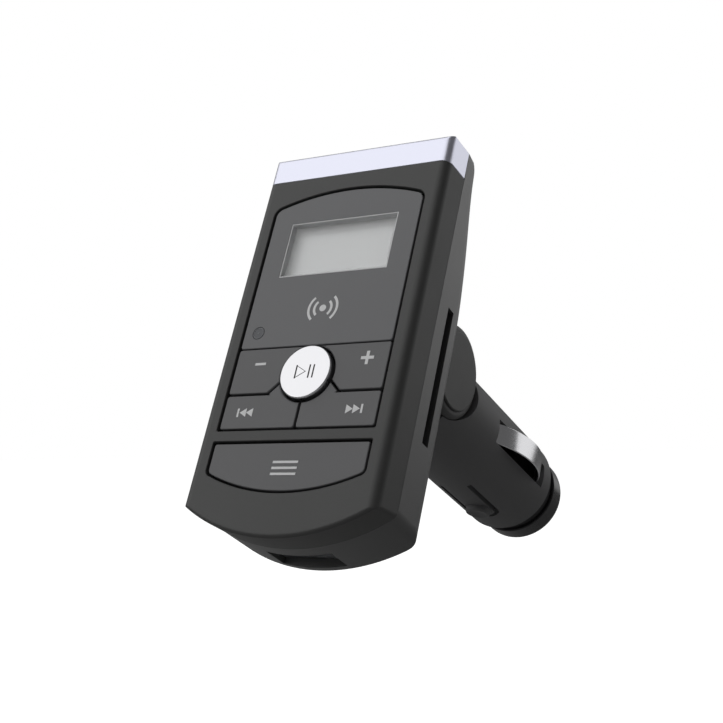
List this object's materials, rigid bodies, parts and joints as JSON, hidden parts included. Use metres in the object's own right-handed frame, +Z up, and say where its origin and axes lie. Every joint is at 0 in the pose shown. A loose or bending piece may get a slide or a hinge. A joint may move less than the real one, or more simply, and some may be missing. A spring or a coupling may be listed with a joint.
{
  "type": "car fm transmitter",
  "caption": "Car transmitter: a slim display head with keys, a card slot and a socket, folding on a round 12 volt plug with sprung contacts.",
  "frame": {"origin": "middle of the footprint, on the surface that the chin and the plug's nose stand on", "axes": "+X across the face to its right, +Y from the face towards the plug's tip, +Z up"},
  "size_m": [0.04, 0.1078, 0.0788],
  "materials": {
    "shell": "fine matte",
    "face": "satin",
    "key": "satin",
    "trim": "polished",
    "round_key": "satin",
    "window": "clear",
    "display": "smooth",
    "light_box": "smooth",
    "dark_window": "polished",
    "black": "matte",
    "board": "lacquered",
    "metal": "plain",
    "screw": "blackened",
    "white": "smooth",
    "winding": "enamelled",
    "sleeve": "sleeved",
    "wire": "smooth",
    "plug": "fine matte",
    "nose": "satin",
    "contact": "plated",
    "glass": "clear"
  },
  "bodies": {
    "head": {"front_shell": "shell", "top_trim": "trim", "face_panel": "face", "display_window": "window", "lcd_glass": "display", "lcd_backlight": "light_box", "ir_lens": "dark_window", "ir_receiver": "black", "key_frame": "black", "main_board": "board", "controller_chip": "black", "transmitter_chip": "black", "crystal_can": "metal", "card_socket": "metal", "usb_shell": "metal", "usb_tongue": "white", "rear_shell": "shell", "case_screws": "screw", "board_screws": "metal", "hinge_pin": "metal", "hinge_washers": "white", "hinge_cap_left": "shell", "hinge_cap_right": "shell", "head_wires": "wire", "switch_minus": "metal", "switch_plus": "metal", "switch_prev": "metal", "switch_next": "metal", "switch_play": "metal", "switch_menu": "metal"},
    "minus_key": {"key_minus": "key", "plunger_minus": "black"},
    "plus_key": {"key_plus": "key", "plunger_plus": "black"},
    "prev_key": {"key_prev": "key", "plunger_prev": "black"},
    "next_key": {"key_next": "key", "plunger_next": "black"},
    "play_key": {"key_play": "round_key", "plunger_play": "black"},
    "menu_key": {"key_menu": "key", "plunger_menu": "black"},
    "plug": {"plug_housing": "plug", "plug_board": "board", "choke_coil": "winding", "filter_capacitor": "sleeve", "regulator_chip": "black", "plug_wires": "wire", "tip_spring": "metal"},
    "nose": {"nose_cap": "nose"},
    "tip": {"tip_contact": "contact", "fuse_glass": "glass", "fuse_caps": "metal"},
    "contact_left": {"ground_contact_left": "contact"},
    "contact_right": {"ground_contact_right": "contact"}
  },
  "joints": [
    {"name": "plug_hinge", "type": "hinge", "parent": "head", "child": "plug", "pos_m": [0, -0.00253, 0.03606], "axis": [1, 0, 0], "range_deg": [-45, 45]},
    {"name": "minus_press", "type": "slide", "parent": "head", "child": "minus_key", "axis": [0, 0.9072, -0.4208], "range_m": [0, 0.0004], "stiffness_N_per_m": 400, "springref_m": -0.0004},
    {"name": "plus_press", "type": "slide", "parent": "head", "child": "plus_key", "axis": [0, 0.9072, -0.4208], "range_m": [0, 0.0004], "stiffness_N_per_m": 400, "springref_m": -0.0004},
    {"name": "prev_press", "type": "slide", "parent": "head", "child": "prev_key", "axis": [0, 0.9072, -0.4208], "range_m": [0, 0.0004], "stiffness_N_per_m": 400, "springref_m": -0.0004},
    {"name": "next_press", "type": "slide", "parent": "head", "child": "next_key", "axis": [0, 0.9072, -0.4208], "range_m": [0, 0.0004], "stiffness_N_per_m": 400, "springref_m": -0.0004},
    {"name": "play_press", "type": "slide", "parent": "head", "child": "play_key", "axis": [0, 0.9072, -0.4208], "range_m": [0, 0.0004], "stiffness_N_per_m": 400, "springref_m": -0.0004},
    {"name": "menu_press", "type": "slide", "parent": "head", "child": "menu_key", "axis": [0, 0.9072, -0.4208], "range_m": [0, 0.0004], "stiffness_N_per_m": 400, "springref_m": -0.0004},
    {"name": "nose_off", "type": "slide", "parent": "plug", "child": "nose", "axis": [0, 0.9101, -0.4144], "range_m": [0, 0.02]},
    {"name": "tip_push", "type": "slide", "parent": "nose", "child": "tip", "axis": [0, -0.9101, 0.4144], "range_m": [0, 0.002], "stiffness_N_per_m": 800, "springref_m": -0.002, "deforming": ["tip_spring"]},
    {"name": "left_contact_push", "type": "slide", "parent": "plug", "child": "contact_left", "axis": [1, 0, 0], "range_m": [0, 0.002], "stiffness_N_per_m": 600, "springref_m": -0.0005},
    {"name": "right_contact_push", "type": "slide", "parent": "plug", "child": "contact_right", "axis": [-1, 0, 0], "range_m": [0, 0.002], "stiffness_N_per_m": 600, "springref_m": -0.0005}
  ]
}
